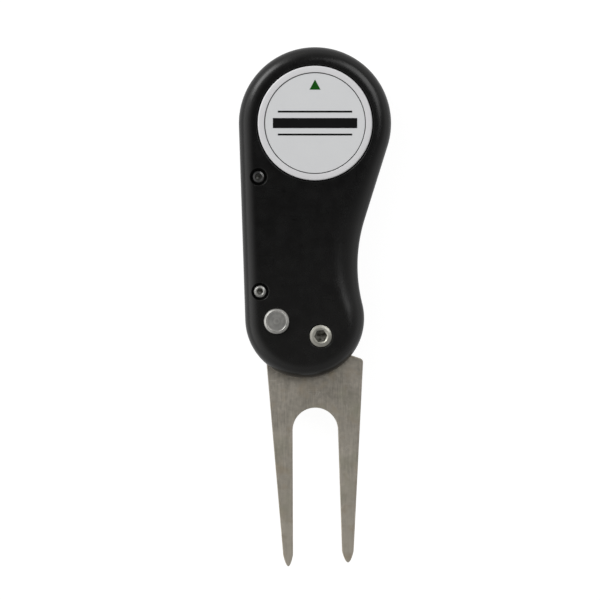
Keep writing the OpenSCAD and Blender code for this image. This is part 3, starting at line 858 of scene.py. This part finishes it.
def fork_blade():
    """The fork: its outline carried up through the sheet with rounded edges, turned to the open
    position about the pivot, and bored for the sleeve and the spring's leg."""
    outline = fork_outline()
    outward = even_outward(outline)
    turn = np.array([[math.cos(FORK_TILT), math.sin(FORK_TILT)],
                     [-math.sin(FORK_TILT), math.cos(FORK_TILT)]])
    outline, outward = outline @ turn + PIVOT, outward @ turn
    quarter = np.linspace(0, math.pi / 2, 6)
    inset = FORK_EDGE * np.concatenate([1 - np.sin(quarter), (1 - np.sin(quarter))[::-1]])
    rise = FORK_EDGE * (1 - np.cos(quarter))
    z = np.concatenate([FORK_Z[0] + rise, (FORK_Z[1] - rise)[::-1]])
    flat = outline - outward * inset[:, None, None]
    rings = np.concatenate([flat, np.broadcast_to(z[:, None, None], (*flat.shape[:2], 1))], axis=-1)
    fork = lofted("fork_blade", rings)
    carve(fork, [pocket(PIVOT, SLEEVE_HOLE_R, 0, TOP_Z),
                 pocket(PIVOT + SPRING_LEG, LEG_HOLE_R, 0, TOP_Z)])
    return smooth(fork)


# ---------------------------------------------------------------- turned pieces and screws

def release_button():
    """The button and all below it in one turning: stem, lock collar, neck, flange, head with a
    broad bevel, and a shallow dish in its face."""
    low, high = levels("release_button")
    axis_r, stem_r, collar_r, neck_r, flange_r, r = np.array([0.1, 0.9, 1.8, 1.0, 3.3, 2.75]) * MM
    flange = high - 3.3 * MM
    flange_top = flange + 0.6 * MM
    bevel = 0.42 * MM
    dish = high - 0.04 * MM
    corners = [
        (axis_r, low, 0), (stem_r, low, 0.15 * MM), (stem_r, CHAMBER[0], 0),
        (collar_r, CHAMBER[0], 0.1 * MM), (collar_r, CHAMBER[1], 0.1 * MM),
        (neck_r, CHAMBER[1], 0.1 * MM), (neck_r, flange, 0.1 * MM),
        (flange_r, flange, 0.08 * MM), (flange_r, flange_top, 0.08 * MM),
        (r, flange_top, 0.05 * MM), (r, high - bevel, 0.12 * MM),
        (r - bevel, high, 0.1 * MM), (r - 0.55 * MM, high, 0.04 * MM),
        (r - 0.62 * MM, dish, 0.04 * MM), (axis_r, dish, 0),
    ]
    return smooth(turned("button_turning", BUTTON, corners))


def hexagon(angle, across):
    """Distance from the centre to a hexagon's side; across is the width over its flats."""
    return across / 2 / np.cos((angle % (math.pi / 3)) - math.pi / 6)


LEAD_SLOPE = 0.8
THREAD_ROOT = 0.86


def socket_screw(name, head_h, socket, socket_depth, thread_r, pitch, dome, turn):
    """A screw as rings, from the tip: a helical thread whose ridge follows angle and height
    together, the underside, the head's side and rounded rim, the domed top, the lead-in cone, the
    socket's six walls and its floor. The cone has one slope all round, so it ends lower along the
    middle of each wall than at the corners."""
    low, high = levels(name)
    centre = middle(name)
    head_r = radius(name)
    sides = 144
    angle = np.linspace(0, 2 * math.pi, sides, endpoint=False)
    seat = high - head_h
    rows = []

    def circle_row(r, z):
        rows.append((np.full(sides, r), np.full(sides, z)))

    circle_row(0.3 * thread_r, low)
    circle_row(0.8 * thread_r, low)
    for z in np.arange(low + 0.1 * MM, seat - 0.2 * MM, pitch / 8):
        phase = z / pitch - angle / (2 * math.pi)
        ridge = np.abs((phase % 1) * 2 - 1)
        fade = ease((z - low) / pitch) * ease((seat - 0.2 * MM - z) / pitch)
        r = thread_r * (THREAD_ROOT + (1 - THREAD_ROOT) * ridge * fade)
        rows.append((r, np.full(sides, z)))
    circle_row(THREAD_ROOT * thread_r, seat)
    rim = 0.22 * head_h
    circle_row(head_r - 0.05 * MM, seat)
    circle_row(head_r, seat + 0.05 * MM)
    wall = hexagon(angle - turn, socket)
    mouth = wall.max() + 0.08 * head_r
    for t in np.linspace(0, math.pi / 2, 9):
        circle_row(head_r - rim * (1 - math.cos(t)), high - dome - rim * (1 - math.sin(t)))
    for t in np.linspace(0, 1, 5)[1:]:
        r = head_r - rim + (mouth - head_r + rim) * t
        circle_row(r, high - dome * (1 - t) ** 2)
    rows.append((wall, high - LEAD_SLOPE * (mouth - wall)))
    rows.append((wall, np.full(sides, high - socket_depth)))
    rows.append((0.75 * wall, np.full(sides, high - socket_depth)))
    rows.append((np.full(sides, 0.1 * socket), np.full(sides, high - socket_depth - 0.12 * MM)))
    r = np.array([row[0] for row in rows])
    z = np.array([row[1] for row in rows])
    rings = np.stack([centre[0] + r * np.cos(angle), centre[1] + r * np.sin(angle), z], axis=-1)
    return smooth(lofted(name + "_turning", rings))


def pivot_sleeve():
    """Barrel nut: flange with a slot for a driver, and the bored sleeve that the fork turns on."""
    low, high = levels("pivot_sleeve")
    flange_r, sleeve_r, bore_r = 3.0 * MM, 2.2 * MM, 1.5 * MM
    flange_top = low + 0.9 * MM
    sleeve = turned("sleeve_turning", PIVOT, [
        (0.1 * MM, low, 0), (flange_r, low, 0.12 * MM), (flange_r, flange_top, 0.05 * MM),
        (sleeve_r, flange_top, 0.05 * MM), (sleeve_r, high, 0.12 * MM), (0.1 * MM, high, 0)])
    slot = np.array([[-5, -0.4], [5, -0.4], [5, 0.4], [-5, 0.4]]) * MM + PIVOT
    carve(sleeve, [pocket(PIVOT, bore_r, 2.4 * MM, high + MM),
                   extruded("slot", slot, -MM, 0.6 * MM)])
    return smooth(sleeve)


def turned_ring(name, node, inner, edge=0.08 * MM, knurl=None):
    """A washer or bush: the ring between inner and the node's own radius, with broken edges."""
    low, high = levels(node)
    centre = middle(node)
    outer = radius(node)
    ring = turned(name, centre, [(0.1 * MM, low, 0), (outer, low, edge), (outer, high, edge),
                                 (0.1 * MM, high, 0)], waves=knurl)
    carve(ring, [pocket(centre, inner, low - MM, high + MM)])
    return smooth(ring)


def knurled(angle, r, z):
    """Straight knurls: the outer radius dips 24 times round, and smaller radii stay."""
    depth = 0.08 * MM * ease((r - 1.2 * MM) / (0.3 * MM))
    return r - depth * (0.5 + 0.5 * np.cos(24 * angle))


def coil(name, centre, r, wire_r, low, pitch, turns, start=0.0, before=(), after=()):
    """A wire of round section swept along a helix: at angle a the centre line is r out from the
    axis and pitch * a / 360 degrees up. before and after are straight or bent ends, as arrays of
    points relative to the axis. The section's frame uses the outward and the tangent direction."""
    angle = start + np.linspace(0, 2 * math.pi * turns, int(48 * turns) + 1)
    z = low + pitch * (angle - start) / (2 * math.pi)
    path = np.column_stack([r * np.cos(angle), r * np.sin(angle), z])
    path = np.concatenate([np.reshape(before, (-1, 3)), path, np.reshape(after, (-1, 3))])
    tangent = np.gradient(path, axis=0)
    tangent /= np.linalg.norm(tangent, axis=1)[:, None]
    outward = path * [1, 1, 0]
    if len(before):
        outward[:len(before)] = outward[len(before)]
    if len(after):
        outward[-len(after):] = outward[-len(after) - 1]
    outward -= (outward * tangent).sum(axis=1)[:, None] * tangent
    outward /= np.linalg.norm(outward, axis=1)[:, None]
    across = np.cross(tangent, outward)
    section = np.linspace(0, 2 * math.pi, 14, endpoint=False)
    rings = (path[:, None] + wire_r * (np.cos(section)[None, :, None] * outward[:, None]
                                       + np.sin(section)[None, :, None] * across[:, None]))
    rings[..., 0] += centre[0]
    rings[..., 1] += centre[1]
    wire = lofted(name, rings)
    wire.data.shade_smooth()
    return wire


def fork_spring():
    """Torsion spring: a straight leg in the rear shell, the coils, and a leg bent up into the
    fork."""
    leg_x, r = SPRING_LEG
    wire_r, low, pitch, turns = 0.3 * MM, 2.25 * MM, 0.65 * MM, 3
    start = math.pi / 2
    top = low + pitch * turns
    lead = np.array([[x, r / MM, low / MM] for x in np.linspace(4.5, 0.3, 12)]) * MM
    bend = np.linspace(0, math.pi / 2, 7)
    corner = 0.5 * MM
    out = np.column_stack([leg_x + corner - corner * np.sin(bend), np.full(7, r),
                           top + corner * (1 - np.cos(bend))])
    tip = np.array([[leg_x, r, MID_Z + 0.5 * MM]])
    return coil("fork_spring_wire", PIVOT, r, wire_r, low, pitch, turns, start, lead,
                np.concatenate([out, tip]))


def button_spring():
    """Compression spring of round wire between the pocket's floor and the collar."""
    low, high = levels("button_spring")
    wire_r = 0.15 * MM
    return coil("button_spring_wire", BUTTON, 1.35 * MM, wire_r, low + wire_r,
                (high - low - 2 * wire_r) / 4, 4)


def magnet_disc():
    """The magnet: a plain disc with rounded edges."""
    low, high = levels("magnet")
    r = radius("magnet")
    return smooth(turned("magnet_disc", np.zeros(2), [
        (0.1 * MM, low, 0), (r, low, 0.2 * MM), (r, high, 0.2 * MM), (0.1 * MM, high, 0)]))


# ---------------------------------------------------------------- the ball marker

def marker_disc():
    """Ball marker's plate: a disc with a rounded rim and a shallow bed for the enamel."""
    low, high = levels("marker_disc")
    r = radius("marker_disc")
    bed = radius("marker_face") + 0.05 * MM
    floor = levels("marker_face")[0]
    return smooth(turned("marker_plate", np.zeros(2), [
        (0.2 * MM, low, 0), (r, low, 0.25 * MM), (r, high, 0.3 * MM), (bed, high, 0.06 * MM),
        (bed, floor, 0.05 * MM), (0.2 * MM, floor, 0)], sides=256))


def marker_enamel():
    """Enamel face: a thin disc with a softly rounded edge."""
    low, high = levels("marker_face")
    r = radius("marker_face")
    return smooth(turned("marker_enamel", np.zeros(2), [
        (0.2 * MM, low, 0), (r, low, 0.03 * MM), (r, high, 0.05 * MM), (0.2 * MM, high, 0)],
        sides=256))


# ---------------------------------------------------------------- put together

def keep(piece, node, body, material):
    """Dresses the piece, lets it stand for its CAD node, and rides it on its body, if any."""
    dress(piece, material)
    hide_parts(node)
    if body:
        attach(piece, body)
    return piece


black = moulded_black()
spring_steel = plain_metal("spring wire", (0.42, 0.42, 0.42), (0.58, 0.58, 0.57), 0.28)
brass = plain_metal("brass", (0.62, 0.42, 0.17), (0.74, 0.53, 0.24), 0.3)
bronze = plain_metal("bronze washer", (0.42, 0.26, 0.13), (0.55, 0.36, 0.19), 0.38)
nickel = plain_metal("nickel plate", (0.6, 0.58, 0.54), (0.7, 0.68, 0.64), 0.18, 2.0)
sleeve_steel = turned_steel("sleeve steel", PIVOT, (0.50, 0.49, 0.46), (0.74, 0.73, 0.69), 0.36)
pivot_steel = turned_steel("pivot steel", PIVOT, (0.44, 0.432, 0.385), (0.66, 0.65, 0.585), 0.4,
                           dirt_and_shade_from=levels("pivot_screw")[1] / MM - 0.25)
button_steel = turned_steel("button steel", BUTTON, (0.26, 0.26, 0.245), (0.94, 0.93, 0.89), 0.36,
                            depth=0.012, pitch=0.36)
# The two case screws are one steel: the lower one as lit, the upper one painted darker as painted
# shade.
bright_screw = turned_steel("bright screw", CASE_SCREWS["lower_case_screw"],
                            (0.34, 0.34, 0.33), (0.58, 0.58, 0.55), 0.4,
                            dirt_and_shade_from=levels("lower_case_screw")[1] / MM - 0.2)
dark_screw = turned_steel("screw steel in painted shade", CASE_SCREWS["upper_case_screw"],
                          (0.10, 0.10, 0.10), (0.34, 0.34, 0.34), 0.28, depth=0.02, pitch=0.3,
                          dirt_and_shade_from=levels("upper_case_screw")[1] / MM - 0.2)
lacquer = enamel("pearl lacquer", (0.81, 0.808, 0.825), (0.85, 0.848, 0.865), 0.32, 0.5)
white = enamel("white enamel", (0.815, 0.825, 0.84), (0.845, 0.855, 0.865), 0.3, 0.5)
green = enamel("green print", (0.004, 0.070, 0.003), (0.008, 0.105, 0.005), 0.5, 0.12)
ink = enamel("black print", (0.003, 0.003, 0.003), (0.006, 0.006, 0.006), 0.5, 0.12)

keep(front_shell(), "front_shell", "handle", black)
keep(rear_shell(), "rear_shell", "handle", black)
keep(fork_blade(), "fork", "fork", blasted_steel())
keep(release_button(), "release_button", "button", button_steel)
keep(socket_screw("pivot_screw", PIVOT_HEAD_H, socket=2.5 * MM, socket_depth=1.1 * MM,
                  thread_r=1.5 * MM, pitch=0.5 * MM, dome=0.12 * MM, turn=0.1),
     "pivot_screw", "handle", pivot_steel)
# the upper case screw takes the copy of the screw steel painted darker as painted shade
for screw, metal, slot_name, turn in (("upper_case_screw", dark_screw, "dark_screw", 0.2),
                                      ("lower_case_screw", bright_screw, "screw_steel", 0.9)):
    keep(socket_screw(screw, CASE_HEAD_H, socket=1.3 * MM, socket_depth=0.9 * MM,
                      thread_r=0.8 * MM, pitch=0.35 * MM, dome=0.08 * MM, turn=turn),
         screw, "handle", metal)
keep(pivot_sleeve(), "pivot_sleeve", "handle", sleeve_steel)
keep(turned_ring("front_washer_ring", "front_washer", 2.3 * MM), "front_washer", "handle", bronze)
keep(turned_ring("rear_washer_ring", "rear_washer", 4.5 * MM), "rear_washer", "handle", bronze)
for bush in ("upper_insert", "lower_insert"):
    keep(turned_ring(bush + "_bush", bush, 0.8 * MM, knurl=knurled), bush, "handle", brass)
keep(magnet_disc(), "magnet", "handle", nickel)
torsion = keep(fork_spring(), "fork_spring", None, spring_steel)
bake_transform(torsion)
compression = keep(button_spring(), "button_spring", "handle", spring_steel)
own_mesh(compression)
keep(marker_disc(), "marker_disc", "marker", lacquer)
keep(marker_enamel(), "marker_face", "marker", white)
for printed, colour in (("marker_arrow", green), ("marker_bars", ink), ("marker_ring", ink)):
    dress(frame["nodes"][printed], colour)


# ---------------------------------------------------------------- floor, light and camera

def floor():
    """A wide pale sheet just under the tool. It reads as a light table when looked at, and gives
    the tool's edges less light than that."""
    size = 40.0
    piece = extruded("floor", np.array([[-1, -1], [1, -1], [1, 1], [-1, 1]]) * size / 2,
                     -5 * MM, -TINY)
    finish = Finish("pale floor")
    seen = finish.tree.nodes.new("ShaderNodeLightPath").outputs["Is Camera Ray"]
    finish.set(Emission_Color=(1, 1, 1, 1))
    finish.feed("Emission Strength", ramp(finish.tree, seen, 0.0, 1.0, 0.4, 0.92))
    finish.colour((0.19, 0.19, 0.19), (0.21, 0.21, 0.21), finish.effect(CLOUDS, Size=400.0))
    finish.set(Roughness=0.85)
    dress(piece, finish.material)


def sky():
    """Light tent: dim straight above, where the camera looks in, brighter towards the floor, dim
    again beyond the prongs, and brightest on the side of the handle's straight back."""
    world = bpy.data.worlds.new("light tent")
    bpy.context.scene.world = world
    world.use_nodes = True
    tree = world.node_tree
    coords = tree.nodes.new("ShaderNodeTexCoord")
    split = tree.nodes.new("ShaderNodeSeparateXYZ")
    tree.links.new(coords.outputs["Generated"], split.inputs[0])
    low = ramp(tree, split.outputs["Z"], 1.0, 0.0, 0.03, 0.72)
    low = maths(tree, "MULTIPLY", low, ramp(tree, split.outputs["Y"], -0.1, -0.8, 1.0, 0.16))
    side = ramp(tree, split.outputs["X"], -0.1, -0.9, 0.0, 0.75)
    side = maths(tree, "MULTIPLY", side, ramp(tree, split.outputs["Y"], -0.2, -0.7, 1.0, 0.25))
    front = ramp(tree, split.outputs["Y"], -0.05, -0.55, 0.0, 0.25)
    background = tree.nodes["Background"]
    background.inputs["Color"].default_value = (1.0, 0.995, 0.985, 1.0)
    tent = maths(tree, "ADD", maths(tree, "ADD", low, side), front)
    tree.links.new(tent, background.inputs["Strength"])


def softbox(name, place, size, power, target=(0.0, -0.03, 0.0)):
    """A rectangular lamp at place that faces target."""
    data = bpy.data.lights.new(name, "AREA")
    data.shape = "RECTANGLE"
    data.size, data.size_y = size
    data.energy = power
    lamp = bpy.data.objects.new(name, data)
    lamp.location = place
    lamp.rotation_euler = (Vector(target) - Vector(place)).to_track_quat("-Z", "Y").to_euler()
    bpy.context.scene.collection.objects.link(lamp)


def camera():
    """A long lens straight above the middle of the tool."""
    low, high = cad_box
    centre = (low + high) / 2
    data = bpy.data.cameras.new("camera")
    eye = bpy.data.objects.new("camera", data)
    distance = 3.0
    view_width = 131.15 * MM
    shift_x, shift_y = -3.27 * MM, 1.48 * MM
    data.sensor_width = 36.0
    data.lens = data.sensor_width * (distance - TOP_Z / 2) / view_width
    data.clip_start, data.clip_end = 0.05, 50.0
    eye.location = (centre.x + shift_x, centre.y + shift_y, distance)
    eye.rotation_euler = (0.0, 0.0, 0.0)
    bpy.context.scene.collection.objects.link(eye)
    bpy.context.scene.camera = eye


floor()
sky()
softbox("key", (-0.40, 0.36, 0.33), (0.28, 0.34), 1.3)
softbox("fill", (0.18, 0.16, 0.38), (0.20, 0.26), 0.40)
camera()
bpy.context.scene.view_settings.view_transform = "Standard"
